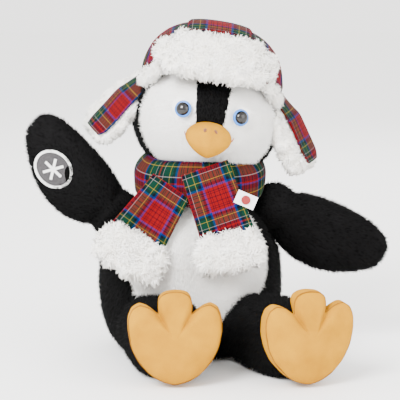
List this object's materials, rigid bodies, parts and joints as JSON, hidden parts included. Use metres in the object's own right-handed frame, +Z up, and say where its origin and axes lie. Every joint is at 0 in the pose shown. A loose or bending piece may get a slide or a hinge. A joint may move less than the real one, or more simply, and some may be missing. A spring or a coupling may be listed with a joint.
{
  "type": "plush penguin",
  "caption": "Seated plush penguin with a lift-off tartan trapper hat, a fleece-ended scarf, flippers that swing and soft feet.",
  "frame": {"origin": "on the floor at the middle of the seat's flat underside", "axes": "+Z up, the penguin faces -Y, its left side is +X"},
  "size_m": [0.3583, 0.2511, 0.327],
  "materials": {
    "black_fur": "long black pile fabric",
    "white_fur": "white pile fabric",
    "fleece": "curly cream sherpa fleece",
    "tartan": "woven red tartan with green, navy, yellow and white lines",
    "gold_plush": "short golden-yellow plush",
    "thread": "embroidery thread",
    "eye_blue": "gloss",
    "eye_black": "high gloss",
    "stuffing": "polyester fibre filling",
    "washer": "natural",
    "badge_grey": "woven patch",
    "badge_white": "embroidered",
    "label": "satin ribbon",
    "label_red": "woven"
  },
  "bodies": {
    "torso": {"back_left_panel": "black_fur", "back_right_panel": "black_fur", "belly_panel": "white_fur", "seat_panel": "black_fur", "body_stuffing": "stuffing", "scarf_neck_band": "tartan"},
    "neck": {"neck_stuffing": "stuffing"},
    "head": {"head_back_panel": "black_fur", "face_left_panel": "white_fur", "face_right_panel": "white_fur", "forehead_stripe": "black_fur", "head_stuffing": "stuffing", "beak_upper": "gold_plush", "beak_lower": "gold_plush", "left_nostril": "thread", "right_nostril": "thread", "left_eye_disc": "eye_blue", "left_eye_pupil": "eye_black", "left_eye_washer": "washer", "right_eye_disc": "eye_blue", "right_eye_pupil": "eye_black", "right_eye_washer": "washer"},
    "hat": {"hat_gusset": "tartan", "hat_left_panel": "tartan", "hat_right_panel": "tartan", "hat_brim_fleece": "fleece"},
    "hat_left_flap": {"hat_left_flap_cloth": "tartan", "hat_left_flap_fleece": "fleece"},
    "hat_right_flap": {"hat_right_flap_cloth": "tartan", "hat_right_flap_fleece": "fleece"},
    "scarf_left": {"scarf_left_tail": "tartan", "scarf_left_fleece": "fleece", "scarf_label": "label", "label_dot": "label_red"},
    "scarf_right": {"scarf_right_tail": "tartan", "scarf_right_fleece": "fleece"},
    "left_wing": {"left_wing_front_panel": "black_fur", "left_wing_back_panel": "black_fur", "left_wing_stuffing": "stuffing"},
    "left_leg": {"left_leg_upper_panel": "black_fur", "left_leg_under_panel": "black_fur", "left_leg_stuffing": "stuffing"},
    "left_foot": {"left_foot_sole": "gold_plush", "left_foot_top": "gold_plush", "left_foot_stuffing": "stuffing"},
    "right_wing": {"right_wing_front_panel": "black_fur", "right_wing_back_panel": "black_fur", "right_wing_stuffing": "stuffing", "badge_field": "badge_grey", "badge_border": "badge_white", "badge_snowflake": "badge_white"},
    "right_leg": {"right_leg_upper_panel": "black_fur", "right_leg_under_panel": "black_fur", "right_leg_stuffing": "stuffing"},
    "right_foot": {"right_foot_sole": "gold_plush", "right_foot_top": "gold_plush", "right_foot_stuffing": "stuffing"}
  },
  "joints": [
    {"name": "head_turn", "type": "hinge", "parent": "torso", "child": "neck", "pos_m": [0.005, 0, 0.1655], "axis": [0, 0, 1], "range_deg": [-25, 25], "stiffness_Nm_per_rad": 0.6},
    {"name": "head_nod", "type": "hinge", "parent": "neck", "child": "head", "pos_m": [0.005, 0, 0.1655], "axis": [1, 0, 0], "range_deg": [-4, 8], "stiffness_Nm_per_rad": 1.5},
    {"name": "hat_lift", "type": "slide", "parent": "head", "child": "hat", "axis": [0.1564, 0, 0.9877], "range_m": [0, 0.11]},
    {"name": "left_flap_fold", "type": "hinge", "parent": "hat", "child": "hat_left_flap", "pos_m": [0.09551, 0, 0.24787], "axis": [-0.3214, -0.9397, -0.117], "range_deg": [0, 45], "stiffness_Nm_per_rad": 0.08},
    {"name": "right_flap_fold", "type": "hinge", "parent": "hat", "child": "hat_right_flap", "pos_m": [-0.05563, 0, 0.27181], "axis": [-0.2695, 0.9397, 0.2106], "range_deg": [0, 45], "stiffness_Nm_per_rad": 0.08},
    {"name": "scarf_left_swing", "type": "hinge", "parent": "torso", "child": "scarf_left", "pos_m": [0.018, -0.0705, 0.181], "axis": [-0.9562, 0, -0.2927], "range_deg": [0, 60]},
    {"name": "scarf_right_swing", "type": "hinge", "parent": "torso", "child": "scarf_right", "pos_m": [-0.024, -0.067, 0.164], "axis": [-0.8575, 0, 0.5145], "range_deg": [0, 60]},
    {"name": "left_wing_swing", "type": "hinge", "parent": "torso", "child": "left_wing", "pos_m": [0.0935, -0.008, 0.1385], "axis": [-0.4067, 0, -0.9135], "range_deg": [-30, 40], "stiffness_Nm_per_rad": 0.4},
    {"name": "right_wing_swing", "type": "hinge", "parent": "torso", "child": "right_wing", "pos_m": [-0.0835, -0.008, 0.146], "axis": [0.6947, 0, 0.7193], "range_deg": [-30, 40], "stiffness_Nm_per_rad": 0.4},
    {"name": "left_hip_fold", "type": "hinge", "parent": "torso", "child": "left_leg", "pos_m": [0.058, -0.079, 0.068], "axis": [-1, 0, 0], "range_deg": [0, 20], "stiffness_Nm_per_rad": 1},
    {"name": "left_ankle_fold", "type": "hinge", "parent": "left_leg", "child": "left_foot", "pos_m": [0.1029, -0.13431, 0.005], "axis": [0.9511, 0.309, 0], "range_deg": [0, 25], "stiffness_Nm_per_rad": 0.4},
    {"name": "right_hip_fold", "type": "hinge", "parent": "torso", "child": "right_leg", "pos_m": [-0.036, -0.079, 0.068], "axis": [-1, 0, 0], "range_deg": [0, 20], "stiffness_Nm_per_rad": 1},
    {"name": "right_ankle_fold", "type": "hinge", "parent": "right_leg", "child": "right_foot", "pos_m": [-0.01386, -0.13552, 0.005], "axis": [0.9986, 0.0523, 0], "range_deg": [0, 25], "stiffness_Nm_per_rad": 0.4}
  ]
}
